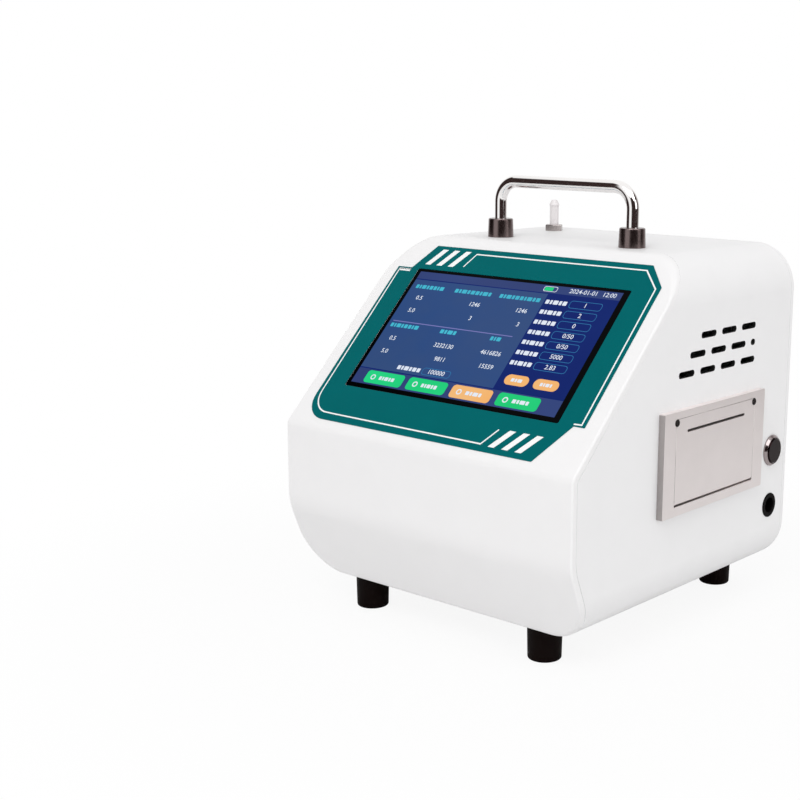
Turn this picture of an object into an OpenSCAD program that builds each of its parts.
// Laser airborne particle counter: bench-top instrument with a sloping touch screen,
// a carrying handle, a sampling inlet, a paper printer and rubber feet.
// X runs to the right, Y to the back, Z up. The floor is at Z = 0.

/* [Housing] */
// Width of the housing
body_w = 215; // [212:0.5:220]
// Depth of the housing, front to back
body_d = 220; // [217:0.5:226]
// Height of the housing's top above the floor
body_top = 219; // [217:0.5:222]
// Height of the housing's underside above the floor
foot_h = 19.5; // [18:0.5:21]
// Radius of the housing's four long corners
corner_r = 27; // [25:0.5:28]
// Thickness of the shell's wall
wall = 3; // [2.8:0.1:3.2]
// Thickness of the front panel and the rear panel
panel_t = 4; // [3.6:0.1:4.2]

/* [Front profile] */
// Height of the crease between the upright front and the slope
crease_z = 113.4; // [111:0.1:115]
// Angle of the slope from the horizontal
slope_angle = 45; // [44:0.5:46]
// Height at which the lower front starts to lean back
chin_z = 64; // [58:1:68]
// Angle of the lower front from the vertical
chin_angle = 22; // [18:1:24]
// Bend radius at the crease
crease_bend = 7; // [5:0.5:9]
// Bend radius where the lower front leans back
chin_bend = 34; // [30:1:40]
// Bend radius between the slope and the top
top_bend = 9; // [6:0.5:12]
// Depth of the locating rim behind the front panel
rim_depth = 3; // [2:0.5:3.5]
// Thickness of the locating rim
rim_t = 2; // [1.5:0.5:2.5]

/* [Screen] */
// Width of the touch glass
glass_w = 160; // [158:0.5:162]
// Height of the touch glass along the slope
glass_h = 90.4; // [89:0.1:92]
// Distance of the glass's centre above the overlay's centre
glass_rise = 3.3; // [2:0.1:4]
// Thickness of the touch glass
glass_t = 2.5; // [2:0.1:3]
// Height of the glass's face above the slope
glass_proud = 0.3; // [0.2:0.1:0.4]
// Thickness of the graphic overlay film
film_t = 0.4; // [0.4:0.1:0.8]
// Depth of the display module behind the panel
display_t = 12; // [9:0.5:14]

/* [Overlay outline] */
// Distance of the overlay from the housing's sides
film_side = 9.8; // [8:0.1:11]
// Distance of the overlay's lower edge from the crease
film_v = 6; // [5:0.5:8]
// Distance of the overlay's upper edge from the top of the slope
film_top = 8.3; // [7:0.1:10]
// Angle of the slanted steps from the slope's horizontal
film_slant = 61.5; // [58:0.5:65]
// Share of the band beside the glass that the upper left step takes
left_step = 0.655; // [0.5:0.005:0.7]
// Height of the step in the upper left corner
left_step_h = 18.6; // [16:0.1:19]
// Share of the band beside the glass that the lower right step takes
right_step = 0.414; // [0.3:0.002:0.5]
// Height of the step in the lower right corner
right_step_h = 25.4; // [24:0.1:27]
// Width of the cut upper right corner
film_cut_w = 12.7; // [10:0.1:15]
// Height of the cut upper right corner
film_cut_h = 14.6; // [12:0.1:17]
// Radius of the lower left corner
film_corner_r = 16; // [12:0.5:18]

/* [Handle] */
// Diameter of the handle rod
rod_d = 7.6; // [7:0.1:8]
// Distance between the handle's two legs
handle_span = 100; // [94:1:104]
// Distance of the handle behind the slope's upper edge
handle_back = 22.6; // [20:0.1:25]
// Height of the rod's centre above the housing's top
handle_rise = 34.5; // [31:0.5:40]
// Bend radius of the rod's centre line
rod_bend = 12.5; // [11:0.5:16]
// Diameter of the collars under the handle's ends
ferrule_d = 15.2; // [14:0.1:16]
// Height of the collars
ferrule_h = 11.5; // [10:0.5:13]

/* [Sampling inlet] */
// Distance of the inlet from the housing's left side
inlet_side = 50; // [49:0.5:53]
// Distance of the inlet from the rear
inlet_back = 28.5; // [27:0.5:31]
// Width across the flats of the inlet's nut
inlet_nut_w = 10.4; // [9.8:0.1:12]
// Height of the inlet's nut
inlet_nut_h = 4; // [3:0.5:5]
// Outer diameter of the nozzle
nozzle_d = 5.8; // [5.4:0.1:6.4]
// Diameter of the nozzle's bore
nozzle_bore = 3; // [2.4:0.1:3.4]
// Height of the nozzle's tip above the housing's top
nozzle_rise = 20; // [17:0.5:24]

/* [Cooling slots] */
// Length of one slot
slot_l = 15.8; // [13:0.1:17]
// Height of one slot
slot_h = 3.7; // [3:0.1:4.2]
// Distance between slots in one row
slot_pitch = 21.7; // [20:0.1:22]
// Distance between rows
row_pitch = 10.1; // [9:0.1:11]
// Distance of the first slot of the lowest row from the front
slot_y = 102.3; // [100:0.1:104]
// Height of the lowest row
slot_z = 154.6; // [153:0.1:158]

/* [Printer] */
// Distance of the printer's centre from the rear
printer_back = 90.4; // [89.5:0.1:92]
// Height of the printer's centre
printer_z = 106.2; // [104:0.1:108]
// Width of the printer plate
printer_w = 106.5; // [105:0.5:108]
// Height of the printer plate
printer_h = 59.5; // [59:0.5:61]
// Thickness of the printer plate outside the wall
printer_proud = 3.9; // [3.5:0.1:3.9]
// Width of the frame beside the paper door
frame_side = 11.6; // [11:0.1:12]
// Height of the frame above and below the paper door, taken together
frame_rails = 10.2; // [10:0.1:11]
// Distance of the door's centre above the frame's centre
door_rise = 0.8; // [0.5:0.1:1]
// Width of the paper slot in the door
paper_slot_w = 60.8; // [59:0.1:62]
// Height of the paper slot
paper_slot_h = 1.7; // [1.4:0.1:2.2]
// Distance of the paper slot below the door's top edge
paper_slot_drop = 7.9; // [7.4:0.1:8.2]
// Diameter of the two door latches
latch_d = 4; // [3.8:0.1:4.6]
// Travel of a door latch
latch_travel = 1.2; // [0.8:0.1:1.4]
// Diameter of the paper roll
roll_d = 34; // [26:1:35]
// Width of the paper roll
roll_w = 57.5; // [56:0.5:58]

/* [Power] */
// Distance of the power button and the socket from the rear
power_back = 19.4; // [18:0.1:21]
// Height of the power button
button_z = 94.4; // [92:0.1:97]
// Outer diameter of the button's ring
ring_d = 19.2; // [18.8:0.1:20]
// Diameter of the button's cap
button_d = 15.4; // [15:0.1:15.8]
// Height of the cap's face above the wall
button_proud = 2.8; // [2.7:0.1:3.2]
// Travel of the button
button_travel = 1; // [0.8:0.05:1]
// Height of the power socket
socket_z = 59.6; // [57:0.1:62]
// Diameter of the socket's rim
socket_d = 15.2; // [14.8:0.1:16]
// Diameter of the socket's bore
socket_bore = 9.6; // [9:0.1:10]

/* [Feet] */
// Diameter of a foot at its top
foot_d = 19.8; // [19:0.1:21]
// Diameter of a foot at the floor
foot_tip_d = 19; // [18:0.1:19]
// Distance of the feet from the housing's sides
foot_side = 40.5; // [38:0.5:43]
// Distance of the front feet from the front
foot_front_y = 30.4; // [29.5:0.1:33]
// Distance of the rear feet from the rear
foot_rear_back = 13.6; // [13.5:0.1:17]

/* [Hidden] */

// General values
eps = 1;
gap = 0.3;
run = 0.05;
seat = 0.02;
bend_steps = 6;
half_w = body_w / 2;
body_h = body_top - foot_h;
middle_z = (body_top + foot_h) / 2;
rear_y = body_d - panel_t;
inside_top = body_top - wall;
inside_floor = foot_h + wall;
slope_top_y = (body_top - crease_z) / tan(slope_angle);
slope_l = (body_top - crease_z) / sin(slope_angle);
film_w = body_w - 2 * film_side;
film_h = slope_l - film_v - film_top;
glass_v = film_v + film_h / 2 + glass_rise;
handle_y = slope_top_y + handle_back;
inlet_x = half_w - inlet_side;
inlet_y = body_d - inlet_back;
printer_y = body_d - printer_back;
power_y = body_d - power_back;
foot_x = half_w - foot_side;
foot_rear_y = body_d - foot_rear_back;

// Round corners inside the shell that take the rear screws
boss_r = 4.5;
boss_l = 12;
boss_inset = corner_r - wall - boss_r + 0.6;
boss_x = half_w - corner_r + boss_inset * cos(45);
boss_dz = body_h / 2 - corner_r + boss_inset * sin(45);
screw_r = 1.5;
screw_head_r = 3;
screw_head_t = 1.8;

// Display module behind the front panel
display_w = glass_w + 6;
display_h = glass_h + 6;
display_step = 1;

// Handle
rod_z = body_top + handle_rise;
handle_screw_r = 2;
handle_screw_l = 10;
handle_head_r = 4;
handle_head_t = 3;
ferrule_flare = 0.4;

// Inlet
nozzle_shoulder = 3;
nozzle_shoulder_r = nozzle_d / 2 + 0.4;
nozzle_tip_r = nozzle_bore / 2 + 0.3;
nozzle_inner_l = 14;
hose_t = 1.2;
hose_r = nozzle_d / 2 + seat + hose_t;

// Printer, in its own frame: x to the back, y up, z out of the wall
sleeve_depth = 7.5;
sleeve_side = 4.5;
sleeve_lip = 3;
door_w = printer_w - 2 * frame_side;
door_h = printer_h - frame_rails;
sleeve_w = door_w + 2 * sleeve_side;
sleeve_h = door_h + 2 * (door_rise + sleeve_lip);
door_x = 0;
door_gap = 0.3;
door_foot_gap = 1;
door_t = printer_proud - gap;
door_top = door_rise + door_h / 2;
door_bottom = door_top - door_h;
door_face = printer_proud;
door_back = printer_proud - door_t;
pin_d = 1.8;
pin_y = door_bottom + door_t / 2;
pin_z = door_back + door_t / 2;
pin_in_frame = 2.5;
paper_slot_y = door_top - paper_slot_drop;
latch_side = 0.7;
latch_drop = 1.9;
latch_x = door_w / 2 - latch_side;
latch_y = door_top - latch_drop;
latch_proud = 0.4;
latch_stem_d = 2.6;
latch_boss_d = 7;
latch_float = 0.4;
latch_boss_top = -latch_travel - latch_float;
bay_t = 1.6;
bay_half_w = 33;
bay_low = -20;
bay_high = 22.5;
bay_depth = 49;
platen_r = 4;
platen_l = 58;
platen_y = 11.3;
platen_z = door_back - 0.6 - platen_r;
axle_d = 3;
arm_t = 2.2;
arm_x = platen_l / 2 + 0.5;
arm_half = 4;
head_half_w = 29;
head_low = 5.8;
head_t = 9;
roll_y = -2.2;
roll_z = -36;
spindle_d = 12;
spindle_stub_d = 6;
spindle_shoulder = 0.5;

side_proud = max(button_proud, printer_proud + latch_proud);

// Power button and socket, in the same kind of frame
ring_h = 2.2;
ring_base_h = 0.8;
ring_lip = 0.7;
ring_floor = 0.5;
cap_t = 1.2;
cap_edge = 0.4;
stem_d = 6;
barrel_d = 12;
barrel_l = 12;
switch_d = 14;
switch_l = 13;
nut_w = 17;
nut_t = 3;
socket_rim_t = 0.6;
socket_body_d = 12;
socket_l = 20;
socket_bore_l = 10;
socket_pin_d = 2;
socket_pin_l = 8;

// Feet
foot_edge = 1;
foot_recess_d = 9;
foot_recess_h = 9;
foot_screw_r = 2;
foot_thread = 8;
foot_screw_l = foot_h - foot_recess_h + foot_thread;
foot_head_t = 3;

// Chassis plate and what stands on it
plate_t = 2;
plate_edge = 1.5;
plate_half_w = half_w - corner_r - plate_edge;
plate_front = 26;
plate_back = rear_y - 2;
plate_top = inside_floor + plate_t;
sensor_w = 42;
sensor_d = 42;
sensor_h = 50;
sensor_z = 100;
sensor_shift = 1.5;
sensor_y = inlet_y - sensor_shift;
bracket_t = 2;
laser_r = 6;
laser_l = 25;
laser_dz = 25;
filter_r = 15;
filter_h = 58;
filter_cap_r = 11;
filter_cap_h = 4;
pump_w = 40;
pump_d = 42;
pump_h = 34;
pump_gap = 5;
pump_y = sensor_y - sensor_d / 2 - pump_gap - pump_d / 2;
pump_head_r = 17;
pump_head_h = 20;
hose_dz = 14;
battery_w = 108;
battery_d = 56;
battery_h = 35;
battery_side = 11;
battery_x = battery_w / 2 + battery_side - plate_half_w;
battery_y = 64;
board_w = battery_w + 16;
board_d = battery_d + 12;
board_t = 1.6;
board_h = battery_h + 6.5;
board_inset = 3.5;
standoff_r = 3;
chip_w = 14;
chip_h = 2;
relay_w = 18;
relay_d = 14;
relay_h = 12;

// Unit vector along v
function unit(v) = v / norm(v);

// Points of an arc of radius r that rounds the corner b between a and c
function corner_arc(a, b, c, r) =
    let (u = unit(a - b))
    let (v = unit(c - b))
    let (half = acos(u * v) / 2)
    let (centre = b + unit(u + v) * r / sin(half))
    let (start = b + u * r / tan(half) - centre)
    let (end = b + v * r / tan(half) - centre)
    let (from = atan2(start[1], start[0]))
    let (sweep = (atan2(end[1], end[0]) - from + 540) % 360 - 180)
    [for (i = [0:bend_steps]) centre + r * [cos(from + sweep * i / bend_steps), sin(from + sweep * i / bend_steps)]];

// A path with its inner corners rounded to the radii in r, 0 for a sharp corner
function soft_path(p, r) = [
    for (i = [0:len(p) - 1])
        each (i == 0 || i == len(p) - 1 || r[i] <= 0) ? [p[i]] : corner_arc(p[i - 1], p[i], p[i + 1], r[i])
];

function reversed(p) = [for (i = [len(p) - 1:-1:0]) p[i]];

// Front outline in the Y-Z plane, t behind the outside
function slope_point(z, t) = [(z - crease_z) / tan(slope_angle) + t / sin(slope_angle), z];
function crease_point(t) = [t, crease_z + t * tan(slope_angle) - t / cos(slope_angle)];
function chin_point(t) = [t, chin_z + t * (1 / cos(chin_angle) - 1) / tan(chin_angle)];
function chin_foot(z, t) = [(chin_z - z) * tan(chin_angle) + t / cos(chin_angle), z];
function front_path(t, high, low) = soft_path(
    [slope_point(high, t), crease_point(t), chin_point(t), chin_foot(low, t)],
    [0, crease_bend - t, chin_bend - t, 0]
);

// Flat outlines

module rounded_rect(w, h, r) {
    square([w - 2 * r, h], center = true);
    square([w, h - 2 * r], center = true);
    for (x = [-1, 1], y = [-1, 1])
        translate([x * (w / 2 - r), y * (h / 2 - r)]) circle(r, $fn = 64);
}

module section(inset = 0)
    translate([0, middle_z]) rounded_rect(body_w - 2 * inset, body_h - 2 * inset, corner_r - inset);

module slot(l, h) {
    square([l - h, h], center = true);
    for (x = [-1, 1]) translate([x * (l - h) / 2, 0]) circle(d = h, $fn = 24);
}

module hexagon(across) circle(d = across / cos(30), $fn = 6);

module overlay_outline() {
    top = film_v + film_h;
    half = film_w / 2;
    band = half - glass_w / 2 - gap;
    right_in = half - right_step * band;
    left_in = -half + left_step * band;
    polygon(soft_path([
        [-half, top - left_step_h],
        [-half, film_v],
        [right_in - right_step_h / tan(film_slant), film_v],
        [right_in, film_v + right_step_h],
        [half, film_v + right_step_h],
        [half, top - film_cut_h],
        [half - film_cut_w, top],
        [left_in + left_step_h / tan(film_slant), top],
        [left_in, top - left_step_h]
    ], [0, film_corner_r, 0, 0, 0, 0, 0, 0, 0]));
}

// Frames

module in_place() translate([-side_proud / 2, -(body_d + screw_head_t) / 2, 0]) children();
module along_x(x0, x1) translate([x0, 0, 0]) rotate([90, 0, 90]) linear_extrude(x1 - x0) children();
module along_y(y0, y1) translate([0, y1, 0]) rotate([90, 0, 0]) linear_extrude(y1 - y0) children();
module on_slope() translate([0, 0, crease_z]) rotate([slope_angle, 0, 0]) children();
module on_side(y, z) translate([half_w, y, z]) rotate([90, 0, 90]) children();
module at_inlet(z) translate([-inlet_x, inlet_y, z]) children();
module at_rear_screws() for (x = [-1, 1], z = [-1, 1]) translate([x * boss_x, 0, middle_z + z * boss_dz]) children();
module at_handle_legs(z) for (x = [-1, 1]) translate([x * handle_span / 2, handle_y, z]) children();
module at_feet(z) for (x = [-1, 1], y = [foot_front_y, foot_rear_y]) translate([x * foot_x, y, z]) children();
module cylinder_x(r, l) rotate([0, 90, 0]) cylinder(r = r, h = l, center = true, $fn = 36);
module box_at(x0, x1, y0, y1, z0, z1) translate([x0, y0, z0]) cube([x1 - x0, y1 - y0, z1 - z0]);

// Housing

module vent_slots() {
    last_end = slot_y + 3 * slot_pitch + slot_l / 2;
    for (i = [0:3]) on_side(slot_y + i * slot_pitch, slot_z) slot_cut(slot_l);
    for (i = [0:2]) on_side(slot_y + (i + 0.5) * slot_pitch, slot_z + row_pitch) slot_cut(slot_l);
    for (i = [1:3]) on_side(slot_y + i * slot_pitch, slot_z + 2 * row_pitch) slot_cut(slot_l);
    stub_start = slot_y + 3.5 * slot_pitch - slot_l / 2;
    on_side((stub_start + last_end) / 2, slot_z + row_pitch) slot_cut(last_end - stub_start);
}

module slot_cut(l) translate([0, 0, -wall - eps]) linear_extrude(wall + 2 * eps) slot(l, slot_h);

module shell_openings() {
    vent_slots();
    on_side(printer_y, printer_z) translate([0, 0, -wall - eps])
        linear_extrude(wall + 2 * eps) square([sleeve_w + 2 * gap, sleeve_h + 2 * gap], center = true);
    on_side(power_y, button_z) translate([0, 0, -wall - eps])
        cylinder(d = barrel_d + gap, h = wall + 2 * eps, $fn = 36);
    on_side(power_y, socket_z) translate([0, 0, -wall - eps])
        cylinder(d = socket_body_d + gap, h = wall + 2 * eps, $fn = 36);
    at_handle_legs(inside_top - eps) cylinder(r = handle_screw_r + gap, h = wall + 2 * eps, $fn = 24);
    at_inlet(inside_top - eps) cylinder(d = nozzle_d + gap, h = wall + 2 * eps, $fn = 36);
    at_feet(foot_h - eps) cylinder(r = foot_screw_r + gap, h = wall + 2 * eps, $fn = 24);
}

module side_shell() {
    cut_high = body_top + eps;
    cut_low = foot_h - eps;
    behind_front = concat(front_path(panel_t, cut_high, cut_low), [[rear_y + eps, cut_low], [rear_y + eps, cut_high]]);
    color("white") in_place() difference() {
        union() {
            intersection() {
                along_y(0, rear_y) difference() { section(0); section(wall); }
                along_x(-half_w - eps, half_w + eps) polygon(behind_front);
            }
            at_rear_screws() along_y(rear_y - boss_l, rear_y) circle(boss_r, $fn = 36);
        }
        shell_openings();
        at_rear_screws() along_y(rear_y - boss_l + eps, rear_y + eps) circle(screw_r, $fn = 24);
    }
}

module front_panel() {
    outside = soft_path(
        [slope_point(body_top, panel_t), slope_point(body_top, 0), crease_point(0), chin_point(0), chin_foot(foot_h, 0)],
        [0, top_bend, crease_bend, chin_bend, 0]
    );
    inside = front_path(panel_t, body_top, foot_h);
    rim_back = front_path(panel_t + rim_depth, body_top, foot_h);
    rim_inset = wall + gap;
    color("white") in_place() difference() {
        union() {
            intersection() {
                along_y(-eps, body_d) section(0);
                along_x(-half_w - eps, half_w + eps) polygon(concat(outside, reversed(inside)));
            }
            intersection() {
                along_y(-eps, body_d) difference() { section(rim_inset); section(rim_inset + rim_t); }
                along_x(-half_w, half_w) polygon(concat(inside, reversed(rim_back)));
            }
        }
        on_slope() translate([0, glass_v, -panel_t - eps])
            linear_extrude(panel_t + 2 * eps) square([glass_w + 2 * gap, glass_h + 2 * gap], center = true);
    }
}

module rear_panel() {
    color("white") in_place() difference() {
        along_y(rear_y, body_d) section(0);
        at_rear_screws() along_y(rear_y - eps, body_d + eps) circle(screw_r + gap, $fn = 24);
    }
}

module rear_screws() {
    color("silver") in_place() at_rear_screws() {
        along_y(rear_y - boss_l + 2 * eps, body_d) circle(screw_r - seat, $fn = 24);
        along_y(body_d, body_d + screw_head_t) circle(screw_head_r, $fn = 24);
    }
}

// Screen

module overlay() {
    color([0, 0.4, 0.41]) in_place() on_slope() linear_extrude(film_t) difference() {
        overlay_outline();
        translate([0, glass_v]) square([glass_w + 2 * gap, glass_h + 2 * gap], center = true);
    }
}

module touch_glass() {
    color([0.05, 0.05, 0.06]) in_place() on_slope() translate([0, glass_v, glass_proud - glass_t])
        linear_extrude(glass_t) square([glass_w, glass_h], center = true);
}

module display_module() {
    step_top = glass_proud - glass_t;
    color("dimgray") in_place() on_slope() translate([0, glass_v, 0]) {
        translate([0, 0, -panel_t - display_t]) linear_extrude(display_t) square([display_w, display_h], center = true);
        translate([0, 0, -panel_t]) linear_extrude(panel_t + step_top)
            square([glass_w - 2 * display_step, glass_h - 2 * display_step], center = true);
    }
}

// Handle

module handle() {
    leg_top = rod_z - rod_bend;
    bar_half = handle_span / 2 - rod_bend;
    color("silver") in_place() difference() {
        union() {
            at_handle_legs(body_top) cylinder(d = rod_d, h = leg_top - body_top, $fn = 36);
            translate([0, handle_y, rod_z]) cylinder_x(rod_d / 2, 2 * bar_half);
            for (x = [0, 1]) mirror([x, 0, 0]) translate([bar_half, handle_y, leg_top])
                rotate([90, 0, 0]) rotate_extrude(angle = 90, $fn = 64) translate([rod_bend, 0]) circle(d = rod_d, $fn = 36);
        }
        at_handle_legs(body_top - eps) cylinder(r = handle_screw_r, h = handle_screw_l + eps, $fn = 24);
    }
}

module ferrule(side) {
    bottom_r = ferrule_d / 2 + ferrule_flare;
    color("gray") in_place() translate([side * handle_span / 2, handle_y, body_top]) difference() {
        cylinder(r1 = bottom_r, r2 = ferrule_d / 2, h = ferrule_h, $fn = 48);
        translate([0, 0, -eps]) cylinder(r = rod_d / 2 + seat, h = ferrule_h + 2 * eps, $fn = 36);
    }
}

module handle_ferrule_left() ferrule(-1);
module handle_ferrule_right() ferrule(1);

module handle_screws() {
    color("silver") in_place() {
        at_handle_legs(inside_top) cylinder(r = handle_screw_r - seat, h = wall + handle_screw_l - eps, $fn = 24);
        at_handle_legs(inside_top - handle_head_t) cylinder(r = handle_head_r, h = handle_head_t, $fn = 24);
    }
}

// Sampling inlet

module inlet_nut() {
    color("gray") in_place() at_inlet(body_top) linear_extrude(inlet_nut_h) difference() {
        hexagon(inlet_nut_w);
        circle(r = nozzle_d / 2 + seat, $fn = 36);
    }
}

module inlet_nozzle() {
    low = -wall - nozzle_inner_l;
    outer = nozzle_d / 2;
    bore = nozzle_bore / 2;
    shoulder_z = nozzle_rise - nozzle_shoulder;
    color([0.9, 0.9, 0.92]) in_place() at_inlet(body_top) rotate_extrude($fn = 48) polygon([
        [bore, low],
        [outer, low],
        [outer, shoulder_z - nozzle_shoulder / 2],
        [nozzle_shoulder_r, shoulder_z],
        [nozzle_tip_r, nozzle_rise],
        [bore, nozzle_rise]
    ]);
}

module inlet_tube() {
    bottom = sensor_z + sensor_h;
    top = inside_top - nozzle_inner_l + 2 * hose_r;
    color([0.85, 0.85, 0.8]) in_place() at_inlet(bottom) difference() {
        cylinder(r = hose_r, h = top - bottom, $fn = 36);
        translate([0, 0, -eps]) cylinder(r = hose_r - hose_t, h = top - bottom + 2 * eps, $fn = 36);
    }
}

// Printer

module at_printer() in_place() on_side(printer_y, printer_z) children();
module at_latches() for (x = [-1, 1]) translate([door_x + x * latch_x, latch_y, 0]) children();

module door_opening() translate([door_x - door_w / 2 - door_gap, door_bottom - door_foot_gap])
    square([door_w + 2 * door_gap, door_h + door_foot_gap + door_gap]);

module printer_frame() {
    pin_l = door_w + 2 * door_gap + 2 * pin_in_frame;
    head_cut = latch_d / 2 + gap;
    color([0.82, 0.79, 0.79]) at_printer() difference() {
        union() {
            linear_extrude(printer_proud) difference() {
                square([printer_w, printer_h], center = true);
                door_opening();
            }
            translate([0, 0, -sleeve_depth]) linear_extrude(sleeve_depth) difference() {
                square([sleeve_w, sleeve_h], center = true);
                door_opening();
            }
            at_latches() translate([0, 0, -sleeve_depth])
                cylinder(d = latch_boss_d, h = sleeve_depth + latch_boss_top, $fn = 36);
        }
        at_latches() translate([0, 0, latch_boss_top]) cylinder(r = head_cut, h = sleeve_depth + printer_proud, $fn = 36);
        at_latches() translate([0, 0, -sleeve_depth - eps]) cylinder(r = latch_stem_d / 2 + run, h = sleeve_depth + eps, $fn = 36);
        translate([door_x, pin_y, pin_z]) cylinder_x(pin_d / 2 + seat, pin_l);
    }
}

module printer_door() {
    top_l = door_top - pin_y;
    color([0.8, 0.76, 0.76]) at_printer() difference() {
        union() {
            translate([door_x - door_w / 2, pin_y, door_back]) cube([door_w, top_l, door_t]);
            translate([door_x, pin_y, pin_z]) cylinder_x(door_t / 2, door_w);
            for (x = [-1, 1]) translate([x * (arm_x + arm_t / 2) - arm_t / 2, platen_y - arm_half, platen_z - arm_half])
                cube([arm_t, 2 * arm_half, door_back - platen_z + arm_half + eps]);
        }
        translate([door_x - paper_slot_w / 2, paper_slot_y - paper_slot_h / 2, -eps])
            cube([paper_slot_w, paper_slot_h, printer_proud + 2 * eps]);
        at_latches() translate([0, 0, -eps]) cylinder(r = latch_d / 2 + gap, h = printer_proud + 2 * eps, $fn = 36);
        translate([door_x, pin_y, pin_z]) cylinder_x(pin_d / 2 + run, door_w + 2 * eps);
        translate([0, platen_y, platen_z]) cylinder_x(axle_d / 2 + run, 2 * (arm_x + arm_t + eps));
    }
}

module door_hinge_pin() {
    color("silver") at_printer() translate([door_x, pin_y, pin_z])
        cylinder_x(pin_d / 2, door_w + 2 * door_gap + 2 * pin_in_frame - 2 * gap);
}

module door_latch(side) {
    color([0.12, 0.11, 0.11]) at_printer() translate([door_x + side * latch_x, latch_y, 0]) {
        translate([0, 0, door_back]) cylinder(d = latch_d, h = door_t + latch_proud, $fn = 36);
        translate([0, 0, -sleeve_depth]) cylinder(d = latch_stem_d, h = sleeve_depth + door_back, $fn = 36);
    }
}

module door_latch_left() door_latch(-1);
module door_latch_right() door_latch(1);

module platen_roller() {
    color([0.15, 0.15, 0.15]) at_printer() translate([0, platen_y, platen_z]) difference() {
        cylinder_x(platen_r, platen_l);
        cylinder_x(axle_d / 2 + seat, platen_l + 2 * eps);
    }
}

module platen_axle() {
    color("silver") at_printer() translate([0, platen_y, platen_z]) cylinder_x(axle_d / 2, 2 * (arm_x + arm_t));
}

module printer_bay() {
    inner_w = 2 * bay_half_w;
    inner_h = bay_high - bay_low;
    centre_y = (bay_high + bay_low) / 2;
    color([0.25, 0.25, 0.27]) at_printer() difference() {
        union() {
            translate([0, centre_y, -sleeve_depth - bay_depth])
                linear_extrude(bay_depth) square([inner_w + 2 * bay_t, inner_h + 2 * bay_t], center = true);
            translate([0, 0, -sleeve_depth - bay_t]) linear_extrude(bay_t) square([sleeve_w, sleeve_h], center = true);
        }
        translate([0, centre_y, -sleeve_depth - bay_depth + bay_t])
            linear_extrude(bay_depth) square([inner_w, inner_h], center = true);
        translate([0, roll_y, roll_z]) cylinder_x(spindle_stub_d / 2 + seat, inner_w + 4 * bay_t);
        at_latches() translate([0, 0, -sleeve_depth - bay_t - eps])
            cylinder(r = latch_stem_d / 2 + gap, h = bay_t + 2 * eps, $fn = 36);
    }
}

module print_head() {
    front = platen_z - platen_r - gap;
    color([0.3, 0.3, 0.33]) at_printer() difference() {
        translate([-head_half_w, head_low, front - head_t]) cube([2 * head_half_w, bay_high - head_low, head_t]);
        translate([-head_half_w - eps, head_low - eps, front - head_t - eps])
            cube([2 * (head_half_w + eps), head_t / 2 + eps, head_t / 2 + eps]);
    }
}

module paper_spindle() {
    color([0.2, 0.2, 0.2]) at_printer() translate([0, roll_y, roll_z]) {
        cylinder_x(spindle_d / 2, 2 * (bay_half_w - spindle_shoulder));
        cylinder_x(spindle_stub_d / 2, 2 * (bay_half_w + bay_t));
    }
}

module paper_roll() {
    color([0.95, 0.95, 0.93]) at_printer() translate([0, roll_y, roll_z]) difference() {
        cylinder_x(roll_d / 2, roll_w);
        cylinder_x(spindle_d / 2 + gap, roll_w + 2 * eps);
    }
}

// Power button and socket

module at_button() in_place() on_side(power_y, button_z) children();
module at_socket() in_place() on_side(power_y, socket_z) children();

module power_ring() {
    lip_d = button_d + 2 * gap + 2 * ring_lip;
    color("gray") at_button() difference() {
        union() {
            cylinder(d = ring_d, h = ring_base_h, $fn = 48);
            translate([0, 0, ring_base_h]) cylinder(d1 = ring_d, d2 = lip_d, h = ring_h - ring_base_h, $fn = 48);
            translate([0, 0, -barrel_l]) cylinder(d = barrel_d, h = barrel_l + ring_floor, $fn = 36);
        }
        translate([0, 0, ring_floor]) cylinder(d = button_d + 2 * gap, h = ring_h, $fn = 48);
        translate([0, 0, -barrel_l - eps]) cylinder(d = stem_d + 2 * run, h = barrel_l + ring_h, $fn = 36);
    }
}

module power_button() {
    rest = button_proud - cap_t;
    color([0.2, 0.2, 0.22]) at_button() {
        translate([0, 0, rest]) cylinder(d = button_d, h = cap_t - cap_edge, $fn = 48);
        translate([0, 0, button_proud - cap_edge]) cylinder(d1 = button_d, d2 = button_d - 2 * cap_edge, h = cap_edge, $fn = 48);
        translate([0, 0, button_travel + gap - barrel_l]) cylinder(d = stem_d, h = barrel_l + rest - button_travel - gap, $fn = 36);
    }
}

module power_switch_body() {
    color([0.1, 0.1, 0.1]) at_button() translate([0, 0, -barrel_l - switch_l]) cylinder(d = switch_d, h = switch_l, $fn = 36);
}

module hex_nut(bore_d) translate([0, 0, -wall - nut_t]) linear_extrude(nut_t) difference() {
    hexagon(nut_w);
    circle(d = bore_d + 2 * seat, $fn = 36);
}

module ring_nut() color("silver") at_button() hex_nut(barrel_d);
module socket_nut() color("silver") at_socket() hex_nut(socket_body_d);

module power_socket() {
    color([0.07, 0.06, 0.06]) at_socket() {
        difference() {
            union() {
                cylinder(d = socket_d, h = socket_rim_t, $fn = 48);
                translate([0, 0, -socket_l]) cylinder(d = socket_body_d, h = socket_l, $fn = 36);
            }
            translate([0, 0, -socket_bore_l]) cylinder(d = socket_bore, h = socket_bore_l + 2 * eps, $fn = 36);
        }
        translate([0, 0, -socket_bore_l]) cylinder(d = socket_pin_d, h = socket_pin_l, $fn = 24);
    }
}

// Feet

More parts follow.
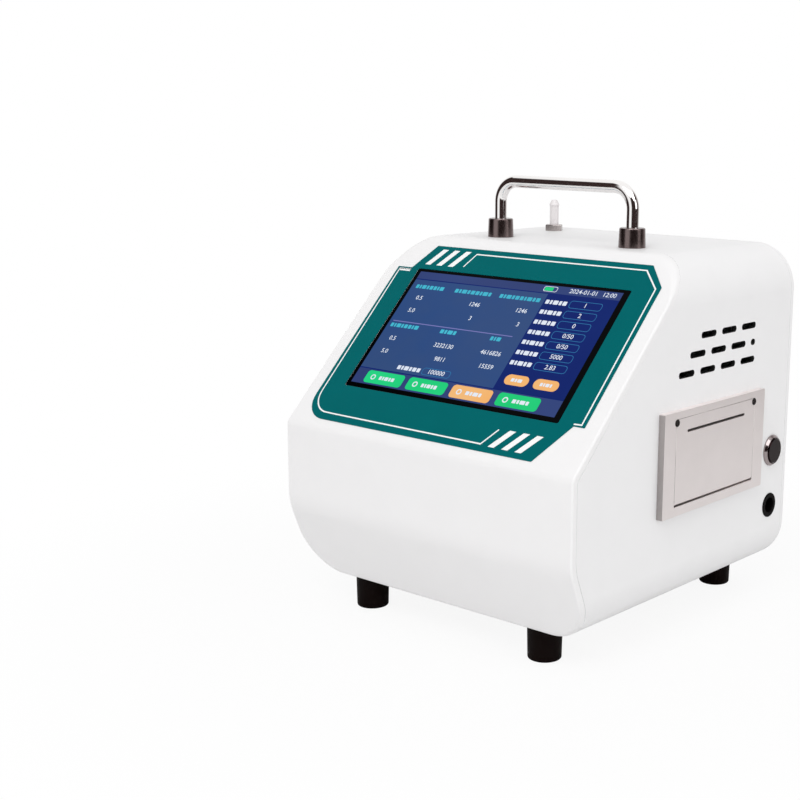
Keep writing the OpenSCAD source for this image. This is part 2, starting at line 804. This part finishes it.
module foot(side, y) {
    color([0.08, 0.07, 0.07]) in_place() translate([side * foot_x, y, 0]) difference() {
        rotate_extrude($fn = 48) polygon([
            [0, 0],
            [foot_tip_d / 2 - foot_edge, 0],
            [foot_tip_d / 2, foot_edge],
            [foot_d / 2, foot_h],
            [0, foot_h]
        ]);
        translate([0, 0, -eps]) cylinder(d = foot_recess_d, h = foot_recess_h + eps, $fn = 36);
        cylinder(r = foot_screw_r + gap, h = foot_h + eps, $fn = 24);
    }
}

module foot_front_left() foot(-1, foot_front_y);
module foot_front_right() foot(1, foot_front_y);
module foot_rear_left() foot(-1, foot_rear_y);
module foot_rear_right() foot(1, foot_rear_y);

module foot_screws() {
    color("silver") in_place() {
        at_feet(foot_recess_h) cylinder(r = foot_screw_r, h = foot_screw_l, $fn = 24);
        at_feet(foot_recess_h - foot_head_t) cylinder(r = 2 * foot_screw_r, h = foot_head_t, $fn = 24);
    }
}

// Inside

module chassis_plate() {
    color("silver") in_place() difference() {
        box_at(-plate_half_w, plate_half_w, plate_front, plate_back, inside_floor, plate_top);
        at_feet(inside_floor - eps) cylinder(r = foot_screw_r + seat, h = plate_t + 2 * eps, $fn = 24);
    }
}

module sensor_block() {
    color([0.15, 0.15, 0.17]) in_place() translate([-inlet_x, sensor_y, sensor_z]) difference() {
        translate([-sensor_w / 2, -sensor_d / 2, 0]) cube([sensor_w, sensor_d, sensor_h]);
        translate([0, inlet_y - sensor_y, sensor_h / 2]) cylinder(r = hose_r - hose_t, h = sensor_h, $fn = 36);
    }
}

module laser_module() {
    color("silver") in_place() translate([-inlet_x + sensor_w / 2 + laser_l / 2, sensor_y, sensor_z + laser_dz])
        cylinder_x(laser_r, laser_l);
}

module sensor_bracket() {
    color("silver") in_place() translate([-inlet_x, sensor_y, 0]) difference() {
        box_at(-sensor_w / 2, sensor_w / 2, -sensor_d / 2, sensor_d / 2, plate_top, sensor_z);
        box_at(-sensor_w / 2 + bracket_t, sensor_w / 2 - bracket_t, -sensor_d, sensor_d, plate_top - eps, sensor_z - bracket_t);
    }
}

module pump() {
    color([0.2, 0.2, 0.22]) in_place() translate([-inlet_x, pump_y, plate_top]) {
        translate([-pump_w / 2, -pump_d / 2, 0]) cube([pump_w, pump_d, pump_h]);
        translate([0, 0, pump_h]) cylinder(r = pump_head_r, h = pump_head_h, $fn = 48);
    }
}

module sample_hose() {
    hose_z = sensor_z + hose_dz;
    pump_top = plate_top + pump_h + pump_head_h;
    turn = 2 * hose_r;
    run_l = sensor_y - sensor_d / 2 - pump_y - turn;
    color([0.85, 0.85, 0.8]) in_place() translate([-inlet_x, pump_y, pump_top]) {
        cylinder(r = hose_r, h = hose_z - pump_top - turn, $fn = 24);
        translate([0, turn, hose_z - pump_top - turn]) rotate([90, 0, -90])
            rotate_extrude(angle = 90, $fn = 48) translate([turn, 0]) circle(r = hose_r, $fn = 24);
        translate([0, turn, hose_z - pump_top]) rotate([-90, 0, 0]) cylinder(r = hose_r, h = run_l, $fn = 24);
    }
}

module exhaust_filter() {
    color([0.9, 0.9, 0.9]) in_place() translate([-inlet_x, sensor_y, plate_top]) {
        cylinder(r = filter_cap_r, h = filter_cap_h, $fn = 48);
        translate([0, 0, filter_cap_h]) cylinder(r = filter_r, h = filter_h - 2 * filter_cap_h, $fn = 48);
        translate([0, 0, filter_h - filter_cap_h]) cylinder(r = filter_cap_r, h = filter_cap_h, $fn = 48);
    }
}

module battery_pack() {
    color([0.1, 0.3, 0.55]) in_place() translate([battery_x - battery_w / 2, battery_y - battery_d / 2, plate_top])
        cube([battery_w, battery_d, battery_h]);
}

module at_board_corners() {
    dx = board_w / 2 - board_inset;
    dy = board_d / 2 - board_inset;
    for (x = [-1, 1], y = [-1, 1]) translate([battery_x + x * dx, battery_y + y * dy, plate_top]) children();
}

module main_board() {
    color([0.05, 0.35, 0.2]) in_place() translate([battery_x, battery_y, plate_top + board_h]) {
        translate([-board_w / 2, -board_d / 2, 0]) cube([board_w, board_d, board_t]);
        for (i = [-1:1]) translate([(2 * i - 1 / 2) * chip_w, -chip_w / 2, board_t]) cube([chip_w, chip_w, chip_h]);
        translate([board_w / 2 - 2 * relay_w, board_d / 4, board_t]) cube([relay_w, relay_d, relay_h]);
    }
}

module board_standoffs() color("gold") in_place() at_board_corners() cylinder(r = standoff_r, h = board_h, $fn = 24);

side_shell();
front_panel();
rear_panel();
rear_screws();
overlay();
touch_glass();
display_module();
handle();
handle_ferrule_left();
handle_ferrule_right();
handle_screws();
inlet_nut();
inlet_nozzle();
inlet_tube();
printer_frame();
printer_door();
door_hinge_pin();
door_latch_left();
door_latch_right();
platen_roller();
platen_axle();
printer_bay();
print_head();
paper_spindle();
paper_roll();
power_ring();
power_button();
power_switch_body();
ring_nut();
power_socket();
socket_nut();
foot_front_left();
foot_front_right();
foot_rear_left();
foot_rear_right();
foot_screws();
chassis_plate();
sensor_block();
laser_module();
sensor_bracket();
sample_hose();
pump();
exhaust_filter();
battery_pack();
main_board();
board_standoffs();
